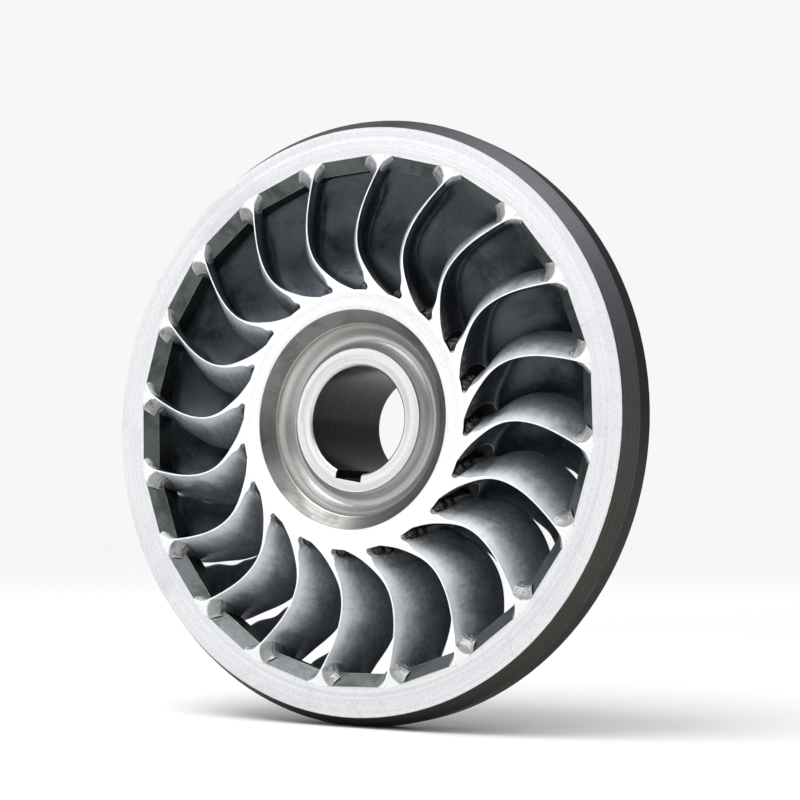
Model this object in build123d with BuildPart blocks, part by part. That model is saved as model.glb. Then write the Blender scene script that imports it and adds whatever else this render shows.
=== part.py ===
"""Inclined-jet water turbine runner: a keyed hub, twenty scoop blades and an outer band, joined by weld beads.

Millimetres, +Z up.  The wheel turns about +Y; the inlet face looks toward -Y and the outlet face toward +Y.
The origin is on the wheel's axis, halfway along its overall length.
"""
import os
from math import cos, hypot, pi, radians, sin

from build123d import *

# ---- driving dimensions (mm unless the name says otherwise) ----
outer_dia = 500.0            # largest diameter of the band; the shares below are of this
face_chamfer = 8.5           # radial size of the chamfer round the inlet side of the band
chamfer_depth = 14.0         # axial size of that chamfer
band_width = 33.0            # axial width of the band
band_wall_share = 0.066      # band's outside to the flats of the twenty-sided opening, at the inlet face
bevel_radial = 10.5          # how far the bevelled flats run inward
bevel_depth = 9.0            # axial depth of the bevelled flats
opening_flare = 5.0          # how far the flats open out again toward the back of the band
blade_count = 20
blade_depth = 72.5           # axial depth of the blades near the hub
tip_inset_share = 0.026      # how far the blade tips stay inside the band's outside
outer_reach = 0.73           # share of the blade depth left at the blade tips
hub_share = 0.428            # diameter of the cylinder the blades stand on
hub_length = 121.0           # inlet face to back end of the hub
hub_lip_share = 0.032        # width of the flat ring round the recess
recess_wall_share = 0.023    # how far the straight conical wall of the recess runs inward
recess_wall_depth = 10.0
groove_sink = 0.55           # turned groove's bottom below the boss face, share of the groove's width
groove_middle = 0.45         # middle of the groove, share of its width from the boss
groove_round = 0.25          # half width of its rounded bottom, share of the groove's width
bore_dia = 90.0
bore_chamfer = 1.5
boss_wall = 14.5             # width of the flat face round the bore
boss_recess = 11.5           # depth of that face below the inlet face
back_step_share = 0.068      # hub's outside to the thinner boss at the back
shoulder_past = 5.5          # how far the hub's full diameter runs past the blades
key_width = 25.0
key_depth = 5.4              # keyway depth above the bore wall
key_angle = -100.0           # degrees, counter-clockwise from +X seen from the inlet side
back_edge_chamfer = 3.0

first_pocket = 91.3          # degrees, middle of the first pocket's flat
pitch = 360.0 / blade_count
corner_lead = 6.5            # degrees from the middle of a flat to the blade's outer corner
thickness_station = 0.70     # where along the blade the thickness angles are stated
root_taper = 14.7            # degrees of scoop tail along the hub
past_edge = 1.08             # how far past the outlet edge the passages are drawn, share of the depth

trailing_weld_stop = 5.0     # where the weld on the rounded side of a blade ends, from the band's back
trailing_weld_leg = 11.0     # its leg along the blade at the inlet face
trailing_weld_reach = 4.6    # degrees it covers along the flat
leading_weld_stop = 13.0     # the smaller fillet weld on the hollow side
leading_weld_leg = 7.0
leading_weld_reach = 2.2
weld_lap = 2.4               # how far inside the band the weld outline starts before trimming
weld_hollow = 0.22           # how far the weld's face is drawn into the corner
weld_end_share = 0.3         # weld size left at its deep end
weld_bite = 0.22             # degrees the weld outline starts inside the blade before trimming
corner_tries = 3             # steps that home in on where a blade meets the band's flat
root_bead_radius = 6.0
root_bead_depths = (8.0, 16.0)

front = hub_length / 2                       # offset of the inlet face toward -Y
face_radius = outer_dia / 2 - face_chamfer   # radius of the flat inlet face
opening_half = outer_dia * (0.5 - band_wall_share)
tip_radius = outer_dia * (0.5 - tip_inset_share)
hub_radius = outer_dia * hub_share / 2
recess_radius = hub_radius - outer_dia * hub_lip_share
wall_radius = recess_radius - outer_dia * recess_wall_share
boss_radius = bore_dia / 2 + boss_wall
groove_width = wall_radius - boss_radius
groove_radius = boss_radius + groove_width * groove_middle
groove_half = groove_width * groove_round
groove_depth = boss_recess + groove_width * groove_sink
back_boss_radius = hub_radius - outer_dia * back_step_share
back_shoulder = blade_depth + shoulder_past
trailing_weld_run = band_width - trailing_weld_stop
leading_weld_run = band_width - leading_weld_stop

# Stations run along a blade, from the hub's cylinder to the flats of the opening.
hub_station = 0.4431
opening_station = 0.8986
reach_start = 0.75           # station where the blade's depth starts to shrink

# Front edge of a blade: station, degrees from the blade's outer corner.
edge_line = [
    (1.10, -5.9), (1.0, -2.6), (0.935, -0.6), (0.87, 1.7), (0.80, 3.8), (0.73, 5.7), (0.67, 6.8), (0.62, 7.0),
    (0.575, 6.1), (0.535, 3.9), (0.50, 0.6), (0.475, -2.7), (0.455, -6.8), (0.44, -11.8),
]
shared_edge = 8              # how many of those points the rounded side follows too
# Rounded end of the scoop's tail, then extra root thickness on the way back out along the convex side.
tail_end = [(0.437, -15.0), (0.445, -16.9), (0.457, -17.2)]
tail_station = 0.457
tail_start = -2.0            # degrees, where the scoop starts to wrap along the hub
root_fillet = [(0.470, 5.0), (0.495, 2.5), (0.530, 1.0), (0.575, 0.25)]

# Along the depth (0 inlet edge, 1 outlet edge): swing of the blade's middle and its thickness, degrees.
swing_line = [(0.0, 0.28), (0.13, 1.85), (0.27, 4.35), (0.40, 6.45), (0.53, 7.8), (0.63, 8.15), (0.70, 7.8),
              (0.77, 5.9), (0.83, 2.6), (0.90, -2.2), (1.0, -9.6)]
thick_line = [(0.0, 0.55), (0.07, 1.6), (0.13, 2.3), (0.27, 2.3), (0.40, 2.1), (0.53, 2.0), (0.63, 2.1),
              (0.70, 2.4), (0.77, 3.3), (0.83, 4.2), (0.90, 4.4), (1.0, 2.4)]
inlet_half = 0.275           # half of the blade's thickness at the inlet edge, degrees
# How much of the full swing the blade takes at each station.
swing_share = [(0.40, 1.08), (0.60, 1.08), (0.70, 1.0), (0.80, 0.80), (0.90, 0.62), (1.10, 0.50)]
belly = 8.6                  # degrees, the part of the swing that fades toward the band


def smooth(points, x):
    """Smooth curve through (x, value) points, straight beyond both ends."""
    n = len(points)
    if x <= points[0][0] or x >= points[-1][0]:
        a, b = (points[0], points[1]) if x <= points[0][0] else (points[-2], points[-1])
        return a[1] + (b[1] - a[1]) * (x - a[0]) / (b[0] - a[0])
    i = max(k for k in range(n - 1) if points[k][0] <= x)
    gaps = [points[k + 1][0] - points[k][0] for k in range(n - 1)]
    rises = [(points[k + 1][1] - points[k][1]) / gaps[k] for k in range(n - 1)]

    def slope(k):
        if k == 0 or k == n - 1:
            return rises[min(k, n - 2)]
        return (rises[k - 1] * gaps[k] + rises[k] * gaps[k - 1]) / (gaps[k - 1] + gaps[k])

    h = gaps[i]
    t = (x - points[i][0]) / h
    return ((2 * t**3 - 3 * t**2 + 1) * points[i][1] + (t**3 - 2 * t**2 + t) * h * slope(i)
            + (3 * t**2 - 2 * t**3) * points[i + 1][1] + (t**3 - t**2) * h * slope(i + 1))


def straight(points, x):
    """Straight-line values between (x, value) points."""
    for (xa, va), (xb, vb) in zip(points, points[1:]):
        if x <= xb:
            return va + (vb - va) * (x - xa) / (xb - xa)
    return points[-1][1]


def thickness(share, station):
    """Blade thickness as an angle, degrees."""
    return smooth(thick_line, share) * thickness_station / station


def radius_at(station):
    """Radius of a station, mm."""
    along = (station - hub_station) / (opening_station - hub_station)
    return hub_radius + along * (opening_half - hub_radius)


def station_at(radius):
    """Station of a radius, mm."""
    along = (radius - hub_radius) / (opening_half - hub_radius)
    return hub_station + along * (opening_station - hub_station)


def local_share(depth, station):
    """Depth as a share of the blade's own depth at that station."""
    shrink = (1 - outer_reach) * max(0.0, station - reach_start) / (station_at(tip_radius) - reach_start)
    return min(depth / (blade_depth * (1 - shrink)), past_edge)


def hollow_side(share, station):
    """Swing of the blade's hollow side at one depth, degrees."""
    fade = (1 - straight(swing_share, station)) * belly * sin(pi * min(max(share, 0.0), 1.0))
    middle = smooth(swing_line, share) - fade
    return middle - thickness(share, station) / 2 + inlet_half * thickness_station / station


def edge_angle(station):
    """Angle of the inlet edge from the blade's outer corner, degrees."""
    return smooth(edge_line[::-1], station)


def at(station, degrees):
    """Point in the wheel's plane from a station and an angle."""
    return (radius_at(station) * cos(radians(degrees)), radius_at(station) * sin(radians(degrees)))


def hollow_angle(depth, station, edge):
    """Angle of the hollow side where the inlet edge has the angle given."""
    return first_pocket + corner_lead + edge + hollow_side(local_share(depth, station), station)


def round_angle(depth, station):
    """Angle of the rounded side of the next blade round, clockwise."""
    share = local_share(depth, station)
    return hollow_angle(depth, station, edge_angle(station)) - pitch + thickness(share, station)


def tail_shrink(depth):
    """How much of the scoop's tail the growing thickness of the next blade leaves at one depth."""
    growth = thickness(local_share(depth, tail_station), tail_station) - thickness(0.0, tail_station)
    return (root_taper - growth) / root_taper


def passage_outline(depth):
    """Outline of the water passage beside the first blade at one depth, outer end open."""
    shrink = tail_shrink(depth)
    points = []
    for station, edge in edge_line + tail_end:
        tail = edge if edge > tail_start else tail_start + (edge - tail_start) * shrink
        points.append(at(station, hollow_angle(depth, station, tail)))
    for station, extra in root_fillet + [(station, 0.0) for station, _ in edge_line[shared_edge - 1::-1]]:
        points.append(at(station, round_angle(depth, station) + extra))
    return points


# ---- water passage between two blades (a cutting shape) ----
stations = [-0.05, 0.05, 0.14, 0.26, 0.38, 0.50, 0.61, 0.70, 0.78, 0.86, 0.94, 1.06]
outline = passage_outline(0.0)
lengths = [hypot(b[0] - a[0], b[1] - a[1]) for a, b in zip(outline, outline[1:])]
marks = [sum(lengths[:k]) / sum(lengths) for k in range(len(outline))]
with BuildPart() as passage:
    for station in stations:
        with BuildSketch(Plane.XZ.offset(front - station * blade_depth)):
            with BuildLine():
                outline = passage_outline(station * blade_depth)
                add(Edge.make_spline([Vector(*point) for point in outline], parameters=marks))
                Line(outline[-1], outline[0])
            make_face()
    loft()

# ---- outer band ----
with BuildPart() as band:
    with BuildSketch(Plane.XY):
        with BuildLine():
            Polyline(
                (hub_radius, -front),
                (face_radius, -front),
                (outer_dia / 2, -front + chamfer_depth),
                (outer_dia / 2, -front + band_width),
                (hub_radius, -front + band_width),
                close=True,
            )
        make_face()
    revolve(axis=Axis.Y)
    steps = [
        (0.0, opening_half),
        (bevel_depth, opening_half - bevel_radial),
        (band_width, opening_half - bevel_radial + opening_flare),
    ]
    for (depth_a, gauge_a), (depth_b, gauge_b) in zip(steps, steps[1:]):
        for depth, gauge in ((depth_a, gauge_a), (depth_b, gauge_b)):
            with BuildSketch(Plane.XZ.offset(front - depth)):
                RegularPolygon(gauge, blade_count, major_radius=False, rotation=first_pocket + pitch / 2)
        loft(ruled=True, mode=Mode.SUBTRACT)

# ---- hub ----
with BuildPart() as hub:
    with BuildSketch(Plane.XY):
        with BuildLine():
            Polyline(
                (boss_radius, -front + boss_recess),
                (bore_dia / 2 + bore_chamfer, -front + boss_recess),
                (bore_dia / 2, -front + boss_recess + bore_chamfer),
                (bore_dia / 2, front - bore_chamfer),
                (bore_dia / 2 + bore_chamfer, front),
                (back_boss_radius - back_edge_chamfer, front),
                (back_boss_radius, front - back_edge_chamfer),
                (back_boss_radius, -front + back_shoulder),
                (hub_radius, -front + back_shoulder),
                (hub_radius, -front),
                (recess_radius, -front),
                (wall_radius, -front + recess_wall_depth),
            )
            Spline(
                (wall_radius, -front + recess_wall_depth),
                (groove_radius + groove_half, -front + groove_depth - groove_half / 2),
                (groove_radius, -front + groove_depth),
                (groove_radius - groove_half, -front + groove_depth - groove_half / 2),
                (boss_radius, -front + boss_recess),
            )
        make_face()
    revolve(axis=Axis.Y)
    with BuildSketch(Plane.XZ.offset(-front)):
        with Locations(Rotation(0, 0, key_angle) * Location((bore_dia / 4 + key_depth / 2, 0))):
            Rectangle(bore_dia / 2 + key_depth, key_width)
    extrude(amount=2 * front, mode=Mode.SUBTRACT)

# ---- one blade, cut from a ring between two passages ----
with BuildPart() as blade_ring:
    with BuildSketch(Plane.XY):
        with BuildLine():
            Polyline(
                (hub_radius, -front),
                (tip_radius, -front),
                (tip_radius, -front + blade_depth * outer_reach),
                (radius_at(reach_start), -front + blade_depth),
                (hub_radius, -front + blade_depth),
                close=True,
            )
        make_face()
    revolve(axis=Axis.Y)
    add(band.part, mode=Mode.SUBTRACT)
    add(passage.part, mode=Mode.SUBTRACT)
    add(passage.part.rotate(Axis.Y, -pitch), mode=Mode.SUBTRACT)
blade_solid = min(blade_ring.part.solids(), key=lambda piece: piece.volume)


def flat_radius(depth, angle):
    """Radius of the band's flat at one depth and angle, mm."""
    return straight(steps, depth) / cos(radians(angle - first_pocket))


def face_angle(depth, station, side):
    """Angle of the blade face a weld lies on: rounded where side is 1, hollow where it is -1."""
    if side > 0:
        return round_angle(depth, station)
    return hollow_angle(depth, station, edge_angle(station))


def weld_outline(depth, run, leg, reach, side):
    """Three corners of a fillet weld between the band's flat and a blade, and the middle of its hollow face."""
    size = 1 - (1 - weld_end_share) * depth / run
    radius = straight(steps, depth)
    low = station_at(radius - leg * size)
    for _ in range(corner_tries):
        corner = face_angle(depth, station_at(radius), side)
        radius = flat_radius(depth, corner)
    foot = at(low, face_angle(depth, low, side) - side * weld_bite)
    toe_angle = corner + side * reach * size
    toe = at(station_at(flat_radius(depth, toe_angle) + weld_lap), toe_angle)
    back_angle = corner - side * weld_bite
    back = at(station_at(flat_radius(depth, back_angle) + weld_lap), back_angle)
    middle = tuple((foot[k] + toe[k]) / 2 * (1 - weld_hollow) + back[k] * weld_hollow for k in (0, 1))
    return foot, toe, back, middle


def weld_solid(run, leg, reach, side):
    """Fillet weld along one corner of the first pocket, trimmed to the band and the blades beside it."""
    with BuildPart() as bead:
        for share in (0.0, 0.35, 0.7, 1.0):
            foot, toe, back, middle = weld_outline(share * run, run, leg, reach, side)
            with BuildSketch(Plane.XZ.offset(front - share * run)):
                with BuildLine():
                    ThreePointArc(foot, middle, toe)
                    Line(toe, back)
                    Line(back, foot)
                make_face()
        loft()
        add(band.part, mode=Mode.SUBTRACT)
        add(blade_solid, mode=Mode.SUBTRACT)
        add(blade_solid.rotate(Axis.Y, pitch), mode=Mode.SUBTRACT)
    return max(bead.part.solids(), key=lambda piece: piece.volume)


def root_bead():
    """Lumpy weld at the end of the scoop's tail, trimmed to the hub and the blades beside it."""
    with BuildPart() as bead:
        for depth in root_bead_depths:
            tail = tail_start + (tail_end[1][1] - tail_start) * tail_shrink(depth)
            x, z = at(tail_end[1][0], hollow_angle(depth, tail_station, tail))
            with Locations((x, -front + depth, z)):
                Sphere(root_bead_radius)
        add(hub.part, mode=Mode.SUBTRACT)
        add(blade_solid, mode=Mode.SUBTRACT)
        add(blade_solid.rotate(Axis.Y, pitch), mode=Mode.SUBTRACT)
    return max(bead.part.solids(), key=lambda piece: piece.volume)


# ---- save every piece ----
os.makedirs("parts", exist_ok=True)


def save(piece, name):
    """Label one piece and write it as its own file."""
    piece.label = name
    export_step(piece, f"parts/{name}.step")


save(hub.part, "hub")
save(band.part, "outer_band")
for number in range(blade_count):
    with BuildPart() as blade:
        add(blade_solid.rotate(Axis.Y, number * pitch))
    save(blade.part, f"blade_{number + 1:02d}")

weld_kinds = {
    "trailing_side_welds": weld_solid(trailing_weld_run, trailing_weld_leg, trailing_weld_reach, 1),
    "leading_side_welds": weld_solid(leading_weld_run, leading_weld_leg, leading_weld_reach, -1),
    "root_weld_beads": root_bead(),
}
for name, single in weld_kinds.items():
    save(Compound([single.rotate(Axis.Y, number * pitch) for number in range(blade_count)]), name)
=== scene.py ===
# %% [markdown]
# # A water turbine runner in metal
# The wheel turns about +Y. Its inlet face looks toward -Y and stands upright on the studio floor.
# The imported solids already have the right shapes, so this lesson gives them their finishes, builds the weld
# beads again with the lumps that a real weld has, and sets up the floor, the lights and the camera.
# Everything is in metres.

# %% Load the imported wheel
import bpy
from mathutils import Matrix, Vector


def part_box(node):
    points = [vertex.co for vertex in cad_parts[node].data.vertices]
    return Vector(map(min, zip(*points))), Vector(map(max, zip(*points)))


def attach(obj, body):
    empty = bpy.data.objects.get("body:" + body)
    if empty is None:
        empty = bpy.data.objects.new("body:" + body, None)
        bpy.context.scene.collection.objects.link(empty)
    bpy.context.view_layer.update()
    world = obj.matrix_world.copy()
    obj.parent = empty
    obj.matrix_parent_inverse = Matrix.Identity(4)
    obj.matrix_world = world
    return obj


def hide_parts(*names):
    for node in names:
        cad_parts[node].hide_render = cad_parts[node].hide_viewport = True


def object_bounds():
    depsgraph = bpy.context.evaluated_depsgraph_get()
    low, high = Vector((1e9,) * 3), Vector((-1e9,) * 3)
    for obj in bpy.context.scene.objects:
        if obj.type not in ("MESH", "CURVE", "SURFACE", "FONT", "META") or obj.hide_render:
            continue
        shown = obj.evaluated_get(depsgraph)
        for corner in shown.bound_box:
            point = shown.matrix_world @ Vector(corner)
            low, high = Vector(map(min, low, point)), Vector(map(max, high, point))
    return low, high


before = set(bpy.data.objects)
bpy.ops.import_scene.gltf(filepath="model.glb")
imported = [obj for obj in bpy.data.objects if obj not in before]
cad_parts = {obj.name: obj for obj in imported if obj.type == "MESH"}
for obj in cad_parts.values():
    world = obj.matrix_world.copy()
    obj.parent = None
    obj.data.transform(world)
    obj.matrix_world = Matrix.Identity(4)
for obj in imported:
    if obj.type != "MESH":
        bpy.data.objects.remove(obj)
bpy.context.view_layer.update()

from math import pi

import bpy
from mathutils import Vector, noise

print("pieces in the frame:", len(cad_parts))

# %% [markdown]
# Most finishes follow the way a surface was made: the lathe leaves rings at one radius, the face mill
# leaves the inlet side flat and bright, and the casting keeps a dark skin where no tool reached.
# So the first thing to measure is where the machined planes and the main radii are.

# %% Measure the wheel
band_low, band_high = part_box("outer_band")
hub_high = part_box("hub")[1]
front = band_low.y                       # the inlet plane
outer_radius = band_high.x
hub_radius = hub_high.x
mm = 0.001
bevel_depth = 9 * mm                     # the bevelled flats of the openings
wall_foot = 79.5 * mm                    # foot of the recess's conical wall
wall_bottom = 13 * mm                    # the depth that the wall ends at
groove_top, groove_floor = 17 * mm, 28 * mm
boss_radius = 59.5 * mm                  # flat face round the bore
boss_depth = 11.5 * mm
bore_radius = 45 * mm
rear_start = 61 * mm                     # the hub behind the blades starts here
print("inlet plane at y =", round(front, 4), "outer radius", round(outer_radius, 4))

# %% [markdown]
# Shader nodes are wired by code, so a few small helpers keep the recipes short: one makes a node and fills
# its inputs, one does arithmetic, one turns a range of a value into a soft mask, one mixes colours, and one
# writes down a grey.

# %% Helpers for shader nodes
def make(tree, kind, inputs=None, **settings):
    """Add a node, set its options, then fill each input with a value or a link."""
    made = tree.nodes.new(kind)
    for key, value in settings.items():
        setattr(made, key, value)
    for key, value in (inputs or {}).items():
        if isinstance(value, bpy.types.NodeSocket):
            tree.links.new(value, made.inputs[key])
        else:
            made.inputs[key].default_value = value
    return made


def calc(tree, operation, a, b=0.0, clamp=False):
    """Arithmetic on two values."""
    return make(tree, "ShaderNodeMath", {0: a, 1: b}, operation=operation, use_clamp=clamp).outputs[0]


def ramp(tree, value, start, end, low=0.0, high=1.0):
    """Soft step from low to high while value goes from start to end."""
    inputs = {"Value": value, "From Min": start, "From Max": end, "To Min": low, "To Max": high}
    return make(tree, "ShaderNodeMapRange", inputs, interpolation_type="SMOOTHSTEP").outputs["Result"]


def mix(tree, mask, a, b):
    """Colour a where mask is 0 and colour b where it is 1."""
    node = make(tree, "ShaderNodeMix", data_type="RGBA")
    for socket, value in ((0, mask), (6, a), (7, b)):
        if isinstance(value, bpy.types.NodeSocket):
            tree.links.new(value, node.inputs[socket])
        else:
            node.inputs[socket].default_value = value
    return node.outputs[2]


def grey(value, warmth=0.0):
    """A grey, warm above 0 and bluish below."""
    return (value * (1 + warmth), value, value * (1 - warmth), 1.0)


print("helpers ready")

# %% [markdown]
# Several finishes need the same effects: rings left by a lathe tool, stray scratches, stains, worn edges and
# the skin of a casting. Each is built once as a node group with named inputs and outputs.
# A group gives out only values and masks that change over the surface. Each material decides how to use them.

# %% Start a node group
def new_group(name, inputs, outputs):
    """An empty shader node group with its sockets. Inputs are (name, kind, start value)."""
    tree = bpy.data.node_groups.new(name, "ShaderNodeTree")
    for socket_name, kind, value in inputs:
        socket = tree.interface.new_socket(socket_name, in_out="INPUT", socket_type="NodeSocket" + kind)
        if value is not None:
            socket.default_value = value
    for socket_name in outputs:
        tree.interface.new_socket(socket_name, in_out="OUTPUT", socket_type="NodeSocketFloat")
    return tree, tree.nodes.new("NodeGroupInput").outputs, tree.nodes.new("NodeGroupOutput").inputs


def use_group(tree, group, inputs=None):
    """Place a group in a material and give back its outputs."""
    node = tree.nodes.new("ShaderNodeGroup")
    node.node_tree = group
    for key, value in (inputs or {}).items():
        if isinstance(value, bpy.types.NodeSocket):
            tree.links.new(value, node.inputs[key])
        else:
            node.inputs[key].default_value = value
    return node.outputs


print("group maker ready")

# %% [markdown]
# **Where on the wheel.** A turned part is easiest to describe by its distance from the axis, its depth behind
# the inlet plane and the angle round the axis. The group also says which way the surface faces: outward from
# the axis, forward to the inlet side, or round with the turning direction.

# %% Group: place on the wheel
place_group, given, out = new_group(
    "place on the wheel",
    [("Place", "Vector", None), ("Facing", "Vector", None)],
    ["Radius", "Depth", "Turn", "Outward", "Forward", "Around"],
)
tree = place_group
parts = make(tree, "ShaderNodeSeparateXYZ", {0: given["Place"]}).outputs
spoke = make(tree, "ShaderNodeCombineXYZ", {0: parts[0], 2: parts[2]}).outputs[0]
unit = make(tree, "ShaderNodeVectorMath", {0: spoke}, operation="NORMALIZE").outputs[0]
sides = make(tree, "ShaderNodeSeparateXYZ", {0: unit}).outputs
back_turn = calc(tree, "MULTIPLY", sides[0], -1.0)
tangent = make(tree, "ShaderNodeCombineXYZ", {0: sides[2], 2: back_turn}).outputs[0]
facing = given["Facing"]
face = make(tree, "ShaderNodeSeparateXYZ", {0: facing}).outputs
length = make(tree, "ShaderNodeVectorMath", {0: spoke}, operation="LENGTH").outputs[1]
outward = make(tree, "ShaderNodeVectorMath", {0: facing, 1: unit}, operation="DOT_PRODUCT").outputs[1]
around = make(tree, "ShaderNodeVectorMath", {0: facing, 1: tangent}, operation="DOT_PRODUCT").outputs[1]
for name, socket in (
    ("Radius", length),
    ("Depth", calc(tree, "SUBTRACT", parts[1], front)),
    ("Turn", calc(tree, "ARCTAN2", parts[2], parts[0])),
    ("Outward", outward),
    ("Forward", calc(tree, "MULTIPLY", face[1], -1.0)),
    ("Around", around),
):
    tree.links.new(socket, out[name])
print("made group:", place_group.name)

# %% [markdown]
# **Turning marks.** A lathe tool leaves one fine groove per turn, and the feed and the tool's wear make
# broader bands. Noise that changes quickly along the cut, and slowly round the wheel, gives both.

# %% Group: turning marks
turning_group, given, out = new_group(
    "turning marks",
    [("Along", "Float", 0.0), ("Turn", "Float", 0.0), ("Pitch", "Float", 0.001)],
    ["Groove", "Band"],
)
tree = turning_group
steps = calc(tree, "DIVIDE", given["Along"], given["Pitch"])
for name, speed, round_speed, detail in (("Groove", 1.0, 0.6, 3.0), ("Band", 0.16, 0.35, 2.0)):
    across = calc(tree, "MULTIPLY", steps, speed)
    lengthways = calc(tree, "MULTIPLY", given["Turn"], round_speed)
    where = make(tree, "ShaderNodeCombineXYZ", {0: across, 1: lengthways}).outputs[0]
    wave = make(tree, "ShaderNodeTexNoise",
                {"Vector": where, "Scale": 1.0, "Detail": detail, "Roughness": 0.6})
    tree.links.new(ramp(tree, wave.outputs[0], 0.3, 0.7), out[name])
print("made group:", turning_group.name)

# %% [markdown]
# **Stray scratches.** Handling and a hand grinder leave thin lines in a few directions. Noise stretched
# along a direction makes streaks, and keeping only its crest leaves hairlines. A slow patchy mask keeps
# them from covering everything evenly.

# %% Group: stray scratches
scratch_group, given, out = new_group(
    "stray scratches",
    [("Place", "Vector", None), ("Fineness", "Float", 1.0), ("Patches", "Float", 12.0)],
    ["Line"],
)
tree = scratch_group
lines = 0.0
for slant, stretch in ((0.5, 34.0), (-0.9, 22.0), (1.9, 42.0)):
    turned = make(tree, "ShaderNodeMapping",
                  {"Vector": given["Place"], "Rotation": (0.4, slant, 0.2)}).outputs[0]
    thin = make(tree, "ShaderNodeMapping",
                {"Vector": turned, "Scale": (7.0, 20.0, 24.0 * stretch)}).outputs[0]
    streak = make(tree, "ShaderNodeTexNoise", {"Vector": thin, "Scale": given["Fineness"], "Detail": 2.0})
    lines = calc(tree, "MAXIMUM", ramp(tree, streak.outputs[0], 0.64, 0.74), lines)
patch = make(tree, "ShaderNodeTexNoise", {"Vector": given["Place"], "Scale": given["Patches"], "Detail": 2.0})
lines = calc(tree, "MULTIPLY", lines, ramp(tree, patch.outputs[0], 0.42, 0.62))
tree.links.new(lines, out["Line"])
print("made group:", scratch_group.name)

# %% [markdown]
# **Stains.** Water, oil and thin rust dry in soft clouds with finer speckle inside them.

# %% Group: stains
stain_group, given, out = new_group(
    "stains",
    [("Place", "Vector", None), ("Scale", "Float", 30.0), ("Cover", "Float", 0.5)],
    ["Cloud", "Speck"],
)
tree = stain_group
cloud = make(tree, "ShaderNodeTexNoise",
             {"Vector": given["Place"], "Scale": given["Scale"], "Detail": 5.0, "Roughness": 0.62,
              "Distortion": 0.6})
bare = calc(tree, "SUBTRACT", 1.0, given["Cover"])
shore = calc(tree, "ADD", calc(tree, "MULTIPLY", bare, 0.5), 0.22)
deep = calc(tree, "ADD", shore, 0.2)
tree.links.new(ramp(tree, cloud.outputs[0], shore, deep), out["Cloud"])
fine = calc(tree, "MULTIPLY", given["Scale"], 9.0)
speck = make(tree, "ShaderNodeTexNoise",
             {"Vector": given["Place"], "Scale": fine, "Detail": 3.0, "Roughness": 0.7})
tree.links.new(ramp(tree, speck.outputs[0], 0.45, 0.75), out["Speck"])
print("made group:", stain_group.name)

# %% [markdown]
# **Worn edges.** Corners of worked steel are rubbed bright. The Bevel node gives the direction the surface
# would face if its corners were rounded, so the places where that differs from the real direction are edges.

# %% Group: worn edges
edge_group, given, out = new_group(
    "worn edges",
    [("Place", "Vector", None), ("Width", "Float", 0.001)],
    ["Edge"],
)
tree = edge_group
rounded = make(tree, "ShaderNodeBevel", {"Radius": given["Width"]}, samples=4).outputs[0]
flat = make(tree, "ShaderNodeNewGeometry").outputs["Normal"]
same = make(tree, "ShaderNodeVectorMath", {0: rounded, 1: flat}, operation="DOT_PRODUCT").outputs[1]
rough = make(tree, "ShaderNodeTexNoise", {"Vector": given["Place"], "Scale": 140.0, "Detail": 3.0}).outputs[0]
broken = calc(tree, "MULTIPLY", ramp(tree, same, 0.995, 0.9), ramp(tree, rough, 0.3, 0.55))
tree.links.new(broken, out["Edge"])
print("made group:", edge_group.name)

# %% [markdown]
# **Casting skin.** Molten steel takes the grain of the sand it was poured in: shallow lumps with small pits.

# %% Group: casting skin
skin_group, given, out = new_group(
    "casting skin",
    [("Place", "Vector", None), ("Grain", "Float", 300.0)],
    ["Lump", "Pit"],
)
tree = skin_group
lump = make(tree, "ShaderNodeTexNoise",
            {"Vector": given["Place"], "Scale": given["Grain"], "Detail": 4.0, "Roughness": 0.6})
tree.links.new(lump.outputs[0], out["Lump"])
cells = make(tree, "ShaderNodeTexVoronoi",
             {"Vector": given["Place"], "Scale": given["Grain"], "Randomness": 1.0})
where = make(tree, "ShaderNodeTexNoise", {"Vector": given["Place"], "Scale": 55.0, "Detail": 2.0}).outputs[0]
pit = calc(tree, "MULTIPLY", ramp(tree, cells.outputs["Distance"], 0.34, 0.12), ramp(tree, where, 0.5, 0.66))
tree.links.new(pit, out["Pit"])
print("made group:", skin_group.name)

# %% [markdown]
# Every finish starts the same way: a Principled shader, the place on the wheel, and a Bump node that takes
# all the small heights. The shader starts as bare metal, and each finish varies its colour, roughness and
# height over the surface.

# %% Start a steel material
def start_steel(name):
    """A steel material with its shader, its place on the wheel, and the outputs needed to wire it."""
    material = bpy.data.materials.new(name)
    material.use_nodes = True
    tree = material.node_tree
    tree.nodes.clear()
    shader = make(tree, "ShaderNodeBsdfPrincipled", {"Metallic": 1.0})
    make(tree, "ShaderNodeOutputMaterial", {"Surface": shader.outputs[0]})
    coords = make(tree, "ShaderNodeTexCoord").outputs
    place = use_group(tree, place_group, {"Place": coords["Object"], "Facing": coords["Normal"]})
    return material, tree, shader, coords["Object"], place


def finish_steel(tree, shader, colour, roughness, height, step):
    """Wire the colour, the roughness and the heights, where a height of 1 stands step metres proud."""
    bump = make(tree, "ShaderNodeBump", {"Height": height, "Distance": step, "Strength": 1.0})
    tree.links.new(colour, shader.inputs["Base Color"])
    tree.links.new(roughness, shader.inputs["Roughness"])
    tree.links.new(bump.outputs[0], shader.inputs["Normal"])


print("steel starter ready")
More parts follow.
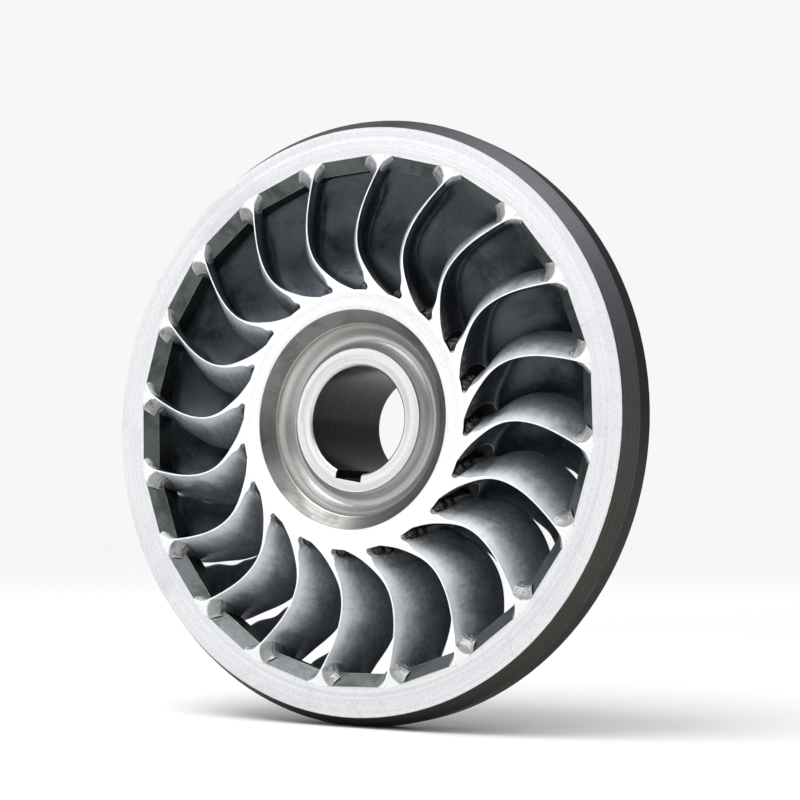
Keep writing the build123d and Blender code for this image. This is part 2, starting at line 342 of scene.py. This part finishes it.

# %% [markdown]
# ** The band.** It is a turned and milled ring. Its inlet face is skimmed bright together with the hub and the blade edges, the chamfer behind it is a duller turned cut, and the cylinder is painted much darker than the chamfer, as painted shade on a side that faces away from the lights. Inside each opening the flats keep mill marks under greenish and brown stains, and the wall behind them is darker.
# One material paints all of these, so it starts with masks for the places that the lathe or the mill reached.

# %% Band steel: where each surface lies
band_steel, tree, shader, spot, place = start_steel("band steel")
radius, depth = place["Radius"], place["Depth"]
is_face = calc(tree, "MULTIPLY", ramp(tree, depth, 0.6 * mm, 0.2 * mm),
               ramp(tree, place["Forward"], 0.9, 0.97))
is_outside = ramp(tree, place["Outward"], 0.2, 0.5)
is_cylinder = ramp(tree, place["Outward"], 0.92, 0.97)
is_back = ramp(tree, place["Forward"], -0.8, -0.95)
is_deep = ramp(tree, depth, bevel_depth - 0.3 * mm, bevel_depth + 0.3 * mm)
print("band steel has its masks")

# %% [markdown]
# Turned surfaces get rings across the radius or laps along the depth, and the shared groups add hairline
# scratches, grain, stains and rubbed corners. Each group gets a scale that suits a band half a metre wide.

# %% Band steel: marks and stains
rings = use_group(tree, turning_group, {"Along": radius, "Turn": place["Turn"], "Pitch": 0.3 * mm})
laps = use_group(tree, turning_group, {"Along": depth, "Turn": place["Turn"], "Pitch": 0.3 * mm})
hairs = use_group(tree, scratch_group, {"Place": spot, "Fineness": 1.0, "Patches": 9.0})["Line"]
grain = use_group(tree, skin_group, {"Place": spot, "Grain": 700.0})
clouds = use_group(tree, stain_group, {"Place": spot, "Scale": 38.0, "Cover": 0.5})
drips = use_group(tree, stain_group, {"Place": spot, "Scale": 14.0, "Cover": 0.38})
rubbed = use_group(tree, edge_group, {"Place": spot, "Width": 0.9 * mm})["Edge"]
print("band steel has its marks")

# %% [markdown]
# Each surface of the band gets its own colours: a pale inlet face, oiled and stained flats and walls, and a
# rim whose chamfer is painted greyer above and darker and browner below, as painted shade.

# %% Band steel: colours
face_colour = mix(tree, rings["Band"], (0.60, 0.60, 0.615, 1), (0.72, 0.72, 0.73, 1))
face_colour = mix(tree, calc(tree, "MULTIPLY", drips["Cloud"], 0.55), face_colour, (0.53, 0.52, 0.56, 1))
face_grain = ramp(tree, grain["Lump"], 0.48, 0.72, 0.0, 0.35)
face_colour = mix(tree, face_grain, face_colour, grey(0.36, -0.02))
face_colour = mix(tree, calc(tree, "MULTIPLY", hairs, 0.5), face_colour, grey(0.45))
flat_colour = mix(tree, clouds["Cloud"], (0.118, 0.130, 0.134, 1), (0.055, 0.063, 0.060, 1))
flat_colour = mix(tree, calc(tree, "MULTIPLY", laps["Groove"], 0.35), flat_colour, (0.070, 0.078, 0.074, 1))
flat_colour = mix(tree, calc(tree, "MULTIPLY", drips["Speck"], 0.45), flat_colour,
                  (0.080, 0.064, 0.050, 1))
wall_colour = mix(tree, clouds["Cloud"], (0.075, 0.085, 0.088, 1), (0.035, 0.042, 0.043, 1))
inside_colour = mix(tree, is_deep, flat_colour, wall_colour)
level = make(tree, "ShaderNodeSeparateXYZ", {0: spot}).outputs[2]
# Painted shade: the chamfer is painted darker and browner toward the bottom, where less light falls.
low_side_shade = ramp(tree, level, 150 * mm, -90 * mm)
chamfer_colour = mix(tree, laps["Band"], (0.150, 0.148, 0.165, 1), (0.180, 0.178, 0.195, 1))
shaded_chamfer_colour = mix(tree, laps["Band"], (0.048, 0.046, 0.041, 1), (0.062, 0.059, 0.053, 1))
chamfer_colour = mix(tree, low_side_shade, chamfer_colour, shaded_chamfer_colour)
# Painted shade: the cylinder is painted far darker than the chamfer.
cylinder_shade_colour = mix(tree, laps["Band"], (0.040, 0.043, 0.044, 1), (0.052, 0.057, 0.058, 1))
rim_colour = mix(tree, is_cylinder, chamfer_colour, cylinder_shade_colour)
rim_colour = mix(tree, calc(tree, "MULTIPLY", drips["Cloud"], 0.40), rim_colour,
                 (0.040, 0.034, 0.028, 1))
rim_grain = ramp(tree, grain["Lump"], 0.50, 0.75, 0.0, 0.4)
rim_colour = mix(tree, rim_grain, rim_colour, (0.050, 0.048, 0.045, 1))
back_colour = mix(tree, rings["Band"], grey(0.20, -0.02), grey(0.32, -0.02))
colour = mix(tree, is_outside, inside_colour, rim_colour)
colour = mix(tree, is_back, colour, back_colour)
colour = mix(tree, calc(tree, "MULTIPLY", rubbed, 0.55), colour, grey(0.60))
colour = mix(tree, is_face, colour, face_colour)
print("band steel has its colours")

# %% [markdown]
# The grooves and scratches also change how rough and how high the surface is. A film of oil dulls what the
# band reflects at a glancing angle, which is a plain setting of the shader.

# %% Band steel: roughness and height
groove = mix(tree, is_outside, rings["Groove"], laps["Groove"])
roughness = ramp(tree, groove, 0.0, 1.0, 0.30, 0.42)
roughness = calc(tree, "ADD", roughness, calc(tree, "MULTIPLY", clouds["Speck"], 0.10))
roughness = calc(tree, "ADD", roughness, ramp(tree, is_outside, 0.0, 1.0, 0.12, 0.0))
height = calc(tree, "SUBTRACT", groove, calc(tree, "MULTIPLY", hairs, 0.8))
shader.inputs["Specular Tint"].default_value = grey(0.5)
finish_steel(tree, shader, colour, roughness, height, 0.012 * mm)
print("made material:", band_steel.name, "with", len(tree.nodes), "nodes")

# %% [markdown]
# **The hub.** The flat ring of its inlet face is as bright as the band. The recess was turned in one setting:
# a dull conical wall with a brown film, then polished rings, a grey groove and the flat face round the bore.
# The bore was reamed, and it and the keyway are painted almost black: painted shade inside the hole.

# %% Hub steel: where each surface lies
hub_steel, tree, shader, spot, place = start_steel("hub steel")
radius, depth = place["Radius"], place["Depth"]
is_face = ramp(tree, depth, 0.5 * mm, 0.2 * mm)
is_drum = ramp(tree, radius, hub_radius - 0.6 * mm, hub_radius - 0.2 * mm)
in_wall = calc(tree, "MULTIPLY", ramp(tree, radius, wall_foot - 1.5 * mm, wall_foot + 1.5 * mm),
               ramp(tree, depth, wall_bottom + 1 * mm, wall_bottom - 1 * mm))
in_groove = calc(tree, "MULTIPLY", ramp(tree, depth, groove_top - 2 * mm, groove_top + 2 * mm),
                 ramp(tree, depth, groove_floor + 2 * mm, groove_floor - 2 * mm))
is_boss = calc(tree, "MULTIPLY", ramp(tree, radius, boss_radius + 0.4 * mm, boss_radius),
               ramp(tree, depth, boss_depth + 0.5 * mm, boss_depth + 0.2 * mm))
is_bore = calc(tree, "MULTIPLY", ramp(tree, radius, bore_radius + 7 * mm, bore_radius + 6.5 * mm),
               ramp(tree, depth, boss_depth + 0.8 * mm, boss_depth + 2.0 * mm))
is_back = ramp(tree, depth, rear_start - 1 * mm, rear_start + 1 * mm)
print("hub steel has its masks")

# %% [markdown]
# The marks are the same effects as on the band, with a coarser feed for the tool and finer scratches.

# %% Hub steel: marks and stains
rings = use_group(tree, turning_group, {"Along": radius, "Turn": place["Turn"], "Pitch": 0.75 * mm})
laps = use_group(tree, turning_group, {"Along": depth, "Turn": place["Turn"], "Pitch": 0.8 * mm})
hairs = use_group(tree, scratch_group, {"Place": spot, "Fineness": 1.3, "Patches": 14.0})["Line"]
film = use_group(tree, stain_group, {"Place": spot, "Scale": 26.0, "Cover": 0.5})
rubbed = use_group(tree, edge_group, {"Place": spot, "Width": 0.8 * mm})["Edge"]
print("hub steel has its marks")

# %% [markdown]
# Colours run from the bright inlet ring and the slightly greyer face round the bore to warm polished rings,
# the dull conical wall and the bore, which is painted almost black as shade.

# %% Hub steel: colours
bright = mix(tree, rings["Band"], grey(0.64, -0.01), grey(0.78))
boss_colour = mix(tree, rings["Band"], grey(0.46, -0.01), grey(0.64))
wall_colour = mix(tree, film["Cloud"], (0.150, 0.155, 0.152, 1), (0.095, 0.096, 0.090, 1))
ring_colour = mix(tree, rings["Band"], (0.50, 0.45, 0.41, 1), (0.80, 0.78, 0.76, 1))
groove_colour = mix(tree, rings["Band"], grey(0.30), grey(0.42, -0.02))
# Painted shade: the bore is painted almost black, deep in the hole.
bore_shade_colour = mix(tree, laps["Band"], (0.010, 0.011, 0.013, 1), (0.016, 0.018, 0.020, 1))
back_colour = mix(tree, laps["Band"], grey(0.24, -0.02), grey(0.36, -0.02))
colour = mix(tree, is_back, ring_colour, back_colour)
colour = mix(tree, in_groove, colour, groove_colour)
colour = mix(tree, in_wall, colour, wall_colour)
colour = mix(tree, is_drum, colour, grey(0.07, -0.05))
colour = mix(tree, is_boss, colour, boss_colour)
colour = mix(tree, is_bore, colour, bore_shade_colour)
colour = mix(tree, calc(tree, "MULTIPLY", rubbed, 0.6), colour, grey(0.72))
colour = mix(tree, is_face, colour, bright)
speckled = calc(tree, "MULTIPLY", film["Speck"], ramp(tree, is_bore, 0.0, 1.0, 0.16, 0.01))
colour = mix(tree, speckled, colour, (0.30, 0.26, 0.22, 1))
hairs = calc(tree, "MULTIPLY", hairs, ramp(tree, is_bore, 0.0, 1.0, 1.0, 0.12))
colour = mix(tree, calc(tree, "MULTIPLY", hairs, 0.35), colour, grey(0.40))
print("hub steel has its colours")

# %% [markdown]
# The bore was reamed smooth, so nearly all of the height is taken away there.

# %% Hub steel: roughness and height
groove = calc(tree, "MULTIPLY", calc(tree, "ADD", rings["Groove"], laps["Groove"]), 0.5)
roughness = ramp(tree, groove, 0.0, 1.0, 0.24, 0.40)
height = calc(tree, "SUBTRACT", groove, calc(tree, "MULTIPLY", hairs, 0.6))
height = calc(tree, "MULTIPLY", height, ramp(tree, is_bore, 0.0, 1.0, 1.0, 0.03))
finish_steel(tree, shader, colour, roughness, height, 0.012 * mm)
print("made material:", hub_steel.name, "with", len(tree.nodes), "nodes")

# %% [markdown]
# ** The blades.** Each scoop is cast and keeps a dark blue-grey skin. Its front edge was skimmed with the face of the wheel and is bright. The rounded back was ground by hand where water strikes it, with streaks along the way the grinder ran; it is also painted lighter near the inlet, where light reaches into the pocket, and given a painted sheen toward the hub. The hollow side is painted nearly black, as painted shade.

# %% Blade steel: where each surface lies
blade_steel, tree, shader, spot, place = start_steel("blade steel")
radius, depth = place["Radius"], place["Depth"]
is_edge = calc(tree, "MULTIPLY", ramp(tree, depth, 0.5 * mm, 0.15 * mm),
               ramp(tree, place["Forward"], 0.8, 0.95))
is_back = ramp(tree, place["Around"], 0.15, -0.45)
near_inlet = ramp(tree, depth, 26 * mm, 1 * mm)
# Painted highlight: how far behind the front edge the back is painted pale.
lip_highlight_reach = ramp(tree, depth, 9 * mm, 1.5 * mm)
near_hub = ramp(tree, radius, 190 * mm, 118 * mm)
at_tail = calc(tree, "MULTIPLY", ramp(tree, radius, 124 * mm, 110 * mm),
               ramp(tree, depth, 34 * mm, 12 * mm))
print("blade steel has its masks")

# %% [markdown]
# The casting skin is used at two grains: a broad one over the whole scoop, and a finer one for the crust and
# pits, which are strongest at the tail. Turning marks with a wide pitch stand for the grinder's strokes.

# %% Blade steel: marks and stains
skin = use_group(tree, skin_group, {"Place": spot, "Grain": 260.0})
crust = use_group(tree, skin_group, {"Place": spot, "Grain": 480.0})
clouds = use_group(tree, stain_group, {"Place": spot, "Scale": 22.0, "Cover": 0.5})
hairs = use_group(tree, scratch_group, {"Place": spot, "Fineness": 1.8, "Patches": 24.0})["Line"]
strokes = use_group(tree, turning_group, {"Along": radius, "Turn": place["Turn"], "Pitch": 1.6 * mm})
rubbed = use_group(tree, edge_group, {"Place": spot, "Width": 1.2 * mm})["Edge"]
# Grinding and painted light: the back is painted lighter near the inlet, where light reaches into the pocket,
# with a painted sheen toward the hub.
worked_and_lit = calc(tree, "MAXIMUM", near_inlet, calc(tree, "MULTIPLY", near_hub, 0.6))
ground_and_lit = calc(tree, "MULTIPLY", is_back, worked_and_lit)
ground_and_lit = calc(tree, "MULTIPLY", ground_and_lit, ramp(tree, clouds["Cloud"], 1.0, 0.0, 0.45, 1.0))
print("blade steel has its marks")

# %% [markdown]
# The colours go on in layers: the skin, the grinding over it mixed with painted light near the inlet and a
# painted sheen toward the hub, a darker mottle, a painted highlight along the lip, the crusty tail, then the
# scratches and the rubbed corners, and last the bright front edge.

# %% Blade steel: colours
# Painted shade: the hollow side is painted far darker than the back.
hollow_shade_colour = mix(tree, clouds["Cloud"], (0.068, 0.078, 0.090, 1), (0.028, 0.033, 0.038, 1))
back_colour = mix(tree, clouds["Cloud"], (0.44, 0.465, 0.51, 1), (0.31, 0.335, 0.37, 1))
# The ground colour also carries the painted light and sheen on the back.
ground_and_sheen_colour = mix(tree, strokes["Band"], grey(0.46, -0.06), grey(0.66, -0.05))
colour = mix(tree, is_back, hollow_shade_colour, back_colour)
colour = mix(tree, ground_and_lit, colour, ground_and_sheen_colour)
mottle = calc(tree, "MULTIPLY", is_back, ramp(tree, skin["Lump"], 0.55, 0.42, 0.0, 0.28))
mottle = calc(tree, "MULTIPLY", mottle, ramp(tree, depth, 3 * mm, 14 * mm, 0.4, 1.0))
colour = mix(tree, mottle, colour, (0.13, 0.145, 0.160, 1))
# Painted highlight: the rounded back is painted pale just behind the front edge.
lip_highlight = calc(tree, "MULTIPLY", calc(tree, "MULTIPLY", is_back, lip_highlight_reach), 0.75)
colour = mix(tree, lip_highlight, colour, grey(0.74, -0.04))
colour = mix(tree, calc(tree, "MULTIPLY", clouds["Speck"], 0.22), colour, (0.20, 0.225, 0.25, 1))
tail_colour = mix(tree, crust["Pit"], grey(0.16, -0.03), grey(0.02))
tail_colour = mix(tree, ramp(tree, skin["Lump"], 0.52, 0.62), tail_colour, grey(0.55, -0.02))
colour = mix(tree, calc(tree, "MULTIPLY", at_tail, 0.8), colour, tail_colour)
colour = mix(tree, calc(tree, "MULTIPLY", hairs, 0.07), colour, grey(0.40, -0.03))
colour = mix(tree, calc(tree, "MULTIPLY", rubbed, 0.5), colour, grey(0.55, -0.02))
edge_colour = mix(tree, strokes["Band"], grey(0.70, -0.02), grey(0.82, -0.01))
colour = mix(tree, is_edge, colour, edge_colour)
print("blade steel has its colours")

# %% [markdown]
# Oxide and grinding haze scatter light, so the scoops are less metallic than clean steel, most of all where
# they were ground. Pits are deepest at the tail, and the skimmed edge is flat.

# %% Blade steel: roughness and height
roughness = ramp(tree, clouds["Speck"], 0.0, 1.0, 0.34, 0.50)
roughness = calc(tree, "ADD", roughness, calc(tree, "MULTIPLY", ground_and_lit, 0.10))
roughness = calc(tree, "ADD", roughness, calc(tree, "MULTIPLY", at_tail, 0.12))
tree.links.new(ramp(tree, ground_and_lit, 0.0, 1.0, 0.82, 0.50), shader.inputs["Metallic"])
rise = calc(tree, "ADD", skin["Lump"], calc(tree, "MULTIPLY", strokes["Groove"], 0.25))
pits = calc(tree, "MULTIPLY", crust["Pit"], ramp(tree, at_tail, 0.0, 1.0, 0.4, 4.0))
height = calc(tree, "SUBTRACT", rise, pits)
height = calc(tree, "MULTIPLY", height, ramp(tree, is_edge, 0.0, 1.0, 1.0, 0.05))
finish_steel(tree, shader, colour, roughness, height, 0.11 * mm)
print("made material:", blade_steel.name, "with", len(tree.nodes), "nodes")

# %% [markdown]
# **Weld metal.** A bead cools into overlapping ripples, bright and rough, with dark slag left in its low
# places. Its ends were cut off with the inlet face, so they are as bright as that face.

# %% Weld steel
weld_steel, tree, shader, spot, place = start_steel("weld steel")
crust = use_group(tree, skin_group, {"Place": spot, "Grain": 620.0})
clouds = use_group(tree, stain_group, {"Place": spot, "Scale": 70.0, "Cover": 0.45})
rubbed = use_group(tree, edge_group, {"Place": spot, "Width": 1.0 * mm})["Edge"]
# Painted shade: the bead is painted darker the deeper it lies in the pocket.
deep_shade = ramp(tree, place["Depth"], 6 * mm, 30 * mm)
is_end = calc(tree, "MULTIPLY", ramp(tree, place["Depth"], 0.5 * mm, 0.2 * mm),
              ramp(tree, place["Forward"], 0.6, 0.9))
at_tail = ramp(tree, place["Radius"], 150 * mm, 130 * mm)
colour = mix(tree, clouds["Cloud"], grey(0.31, -0.02), grey(0.15, -0.02))
slag = ramp(tree, crust["Lump"], 0.50, 0.64)
tail_colour = mix(tree, slag, grey(0.025, -0.03), grey(0.16, -0.02))
colour = mix(tree, at_tail, colour, tail_colour)
colour = mix(tree, calc(tree, "MULTIPLY", crust["Pit"], 0.8), colour, grey(0.05))
colour = mix(tree, calc(tree, "MULTIPLY", clouds["Speck"], 0.22), colour, (0.22, 0.185, 0.155, 1))
colour = mix(tree, calc(tree, "MULTIPLY", deep_shade, 0.6), colour, grey(0.12, -0.02))
colour = mix(tree, calc(tree, "MULTIPLY", rubbed, 0.3), colour, grey(0.62))
colour = mix(tree, is_end, colour, grey(0.74, -0.01))
roughness = ramp(tree, crust["Lump"], 0.3, 0.7, 0.42, 0.64)
height = calc(tree, "SUBTRACT", crust["Lump"], crust["Pit"])
height = calc(tree, "MULTIPLY", height, ramp(tree, is_end, 0.0, 1.0, 1.0, 0.03))
finish_steel(tree, shader, colour, roughness, height, 0.18 * mm)
print("made material:", weld_steel.name, "with", len(tree.nodes), "nodes")

# %% [markdown]
# The solids that already have the right shape only need their finish: one material slot each.

# %% Dress the solids
finishes = {"outer_band": band_steel, "hub": hub_steel}
for name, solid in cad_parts.items():
    finish = finishes.get(name, blade_steel if name.startswith("blade_") else weld_steel)
    solid.data.materials.clear()
    solid.data.materials.append(finish)
print("dressed", len(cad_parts), "solids")

# %% [markdown]
# **Weld beads.** The solid beads are smooth wedges, but a real bead is a row of frozen drops. Each set is
# built again on its wedge: a fine even skin is wrapped round it first, because ripples need points to move,
# and then every point moves along its own direction, by ripples across the run and by lumps of two sizes.
# Beads lie against the blades and the band, so the moves are fractions of a millimetre.

# %% Helper: wrap an even skin
def even_skin(solid, name, grain):
    """A new piece in the place of a solid, with an even mesh of that grain."""
    piece = bpy.data.objects.new(name, solid.data.copy())
    bpy.context.scene.collection.objects.link(piece)
    wrap = piece.modifiers.new("even skin", "REMESH")
    wrap.mode = "VOXEL"
    wrap.voxel_size = grain
    graph = bpy.context.evaluated_depsgraph_get()
    skin = bpy.data.meshes.new_from_object(piece.evaluated_get(graph))
    piece.modifiers.clear()
    piece.data = skin
    skin.name = name
    skin.shade_smooth()
    return piece


print("skin helper ready")

# %% [markdown]
# The beads' ends were cut off with the inlet face, so the ripples start from nothing there and grow over a
# few millimetres of depth. The noise has no seed, so every run gives the same beads.

# %% Helper: ripples and lumps
skimmed = 0.05 * mm                      # how far the new skin stays behind the inlet face
settle = 5 * mm                          # depth over which the ripples grow


def frozen_drops(piece, ripple, pitch, lump, lump_size):
    """Move each point by ripples along the depth and by lumps. All sizes are in metres."""
    moves = []
    for vertex in piece.data.vertices:
        spot = vertex.co
        bow = noise.noise(spot / (4 * pitch)) * 2.5
        wave = abs(pi * (spot.y - front) / pitch + bow)
        crest = 1 - 4 * abs((wave / pi) % 1 - 0.5) ** 2
        rough = noise.noise(spot / lump_size) + 0.5 * noise.noise(spot / (lump_size * 0.45))
        grown = min(1.0, max(0.0, (spot.y - front) / settle)) ** 0.5
        moves.append(vertex.normal * grown * (ripple * (crest - 0.5) + lump * (rough + 0.25)))
    for vertex, move in zip(piece.data.vertices, moves):
        vertex.co += move
        vertex.co.y = max(vertex.co.y, front + skimmed)
    piece.data.update()


print("ripple helper ready")

# %% [markdown]
# The outer beads keep their solid wedge under the new skin, because its end is cut clean and flush. The root
# beads sit deep in the tails, where only their lumps show, so the new skin takes their place.

# %% Build the weld beads
bead_grain = 0.7 * mm
for node_name, ripple, pitch, lump, lump_size in (
    ("trailing_side_welds", 0.28 * mm, 3.4 * mm, 0.42 * mm, 3.2 * mm),
    ("leading_side_welds", 0.18 * mm, 2.8 * mm, 0.26 * mm, 2.4 * mm),
    ("root_weld_beads", 0.20 * mm, 3.0 * mm, 0.85 * mm, 3.0 * mm),
):
    beads = even_skin(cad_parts[node_name], node_name + "_rippled", bead_grain)
    frozen_drops(beads, ripple, pitch, lump, lump_size)
    beads.data.materials.clear()
    beads.data.materials.append(weld_steel)
    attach(beads, "root")
    if node_name == "root_weld_beads":
        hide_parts(node_name)
    print(beads.name, "has", len(beads.data.vertices), "points")

# %% [markdown]
# **Studio.** A plain pale floor carries the wheel at its lowest point. It is much wider than the view, and it
# gets paler with distance, so that it runs into the backdrop without a hard edge.

# %% Floor
floor_size = 30.0                        # from the middle to each edge
floor_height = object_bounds()[0].z
corners = [(-1, -1), (1, -1), (1, 1), (-1, 1)]
floor_mesh = bpy.data.meshes.new("studio_floor")
floor_points = [(floor_size * x, floor_size * y, floor_height) for x, y in corners]
floor_mesh.from_pydata(floor_points, [], [(0, 1, 2, 3)])
floor = bpy.data.objects.new("studio_floor", floor_mesh)
bpy.context.scene.collection.objects.link(floor)
pale = bpy.data.materials.new("pale floor")
pale.use_nodes = True
tree = pale.node_tree
shader = tree.nodes["Principled BSDF"]
spot = make(tree, "ShaderNodeTexCoord").outputs["Object"]
uneven = make(tree, "ShaderNodeTexNoise", {"Vector": spot, "Scale": 1.5, "Detail": 3.0}).outputs[0]
far = make(tree, "ShaderNodeVectorMath", {0: spot}, operation="LENGTH").outputs[1]
near_colour = mix(tree, uneven, grey(0.80), grey(0.84))
floor_colour = mix(tree, ramp(tree, far, 0.8, 3.0), near_colour, grey(0.955))
tree.links.new(floor_colour, shader.inputs["Base Color"])
shader.inputs["Roughness"].default_value = 0.75
floor_mesh.materials.append(pale)
print("floor at z =", round(floor_height, 4))

# %% [markdown]
# Bare metal shows what stands round it, so the lights are large and soft. The inlet face mirrors whatever is
# in front and to the left, so a broad softbox stands there. A second one above gives the rounded backs of the
# blades their sheen, and a very wide sun fills in from the ceiling.

# %% Lights
def softbox(name, spot, aim, width, height, power):
    """A rectangular area light at a spot, turned to an aim point."""
    data = bpy.data.lights.new(name, "AREA")
    data.shape = "RECTANGLE"
    data.size, data.size_y, data.energy = width, height, power
    box = bpy.data.objects.new(name, data)
    box.location = spot
    box.rotation_mode = "QUATERNION"
    box.rotation_quaternion = (Vector(aim) - Vector(spot)).to_track_quat("-Z", "Y")
    bpy.context.scene.collection.objects.link(box)
    return box


middle = (0.0, 0.0, 0.0)
softbox("face softbox", (-1.5, -2.2, 0.6), middle, 2.2, 1.8, 12.0)
softbox("top softbox", (-0.5, -1.2, 2.2), middle, 2.0, 1.4, 42)

sky = bpy.data.lights.new("ceiling glow", "SUN")
sky.energy, sky.angle = 1.7, 1.4
ceiling = bpy.data.objects.new("ceiling glow", sky)
ceiling.rotation_euler = (0.35, 0.1, 0.0)
bpy.context.scene.collection.objects.link(ceiling)
print("lights:", len(bpy.data.lights))

# %% [markdown]
# The room does two jobs. What the steel mirrors and what fills the shadows is a middling grey, so that the
# hollows stay dark. What is seen directly behind the wheel is pale paper. The Light Path node tells the two
# apart.

# %% Room
room_grey, paper_grey = 0.50, 0.93
world = bpy.data.worlds.new("studio")
bpy.context.scene.world = world
world.use_nodes = True
tree = world.node_tree
tree.nodes.clear()
seen = make(tree, "ShaderNodeLightPath").outputs["Is Camera Ray"]
room = make(tree, "ShaderNodeBackground", {"Color": grey(room_grey, -0.02), "Strength": 1.0}).outputs[0]
paper = make(tree, "ShaderNodeBackground", {"Color": grey(paper_grey), "Strength": 1.0}).outputs[0]
both = make(tree, "ShaderNodeMixShader", {0: seen, 1: room, 2: paper}).outputs[0]
make(tree, "ShaderNodeOutputWorld", {"Surface": both})
bpy.context.scene.view_settings.view_transform = "Standard"
print("room grey", room_grey, "paper", paper_grey)

# %% [markdown]
# **Camera.** It stands to the right of the axis and a little below it, and looks slightly up at the wheel.

# %% Camera
camera_spot = Vector((0.7307, -1.1952, -0.0968))
camera_aim = Vector((0.04853, -0.0605, 0.01364))
lens = bpy.data.cameras.new("camera")
lens.lens = 74.25
lens.sensor_width = 36.0
lens.clip_start, lens.clip_end = 0.05, 100.0
camera = bpy.data.objects.new("camera", lens)
camera.location = camera_spot
camera.rotation_mode = "QUATERNION"
camera.rotation_quaternion = (camera_aim - camera_spot).to_track_quat("-Z", "Y")
bpy.context.scene.collection.objects.link(camera)
bpy.context.scene.camera = camera
print("camera", [round(v, 4) for v in camera_spot], "looks at", [round(v, 4) for v in camera_aim])
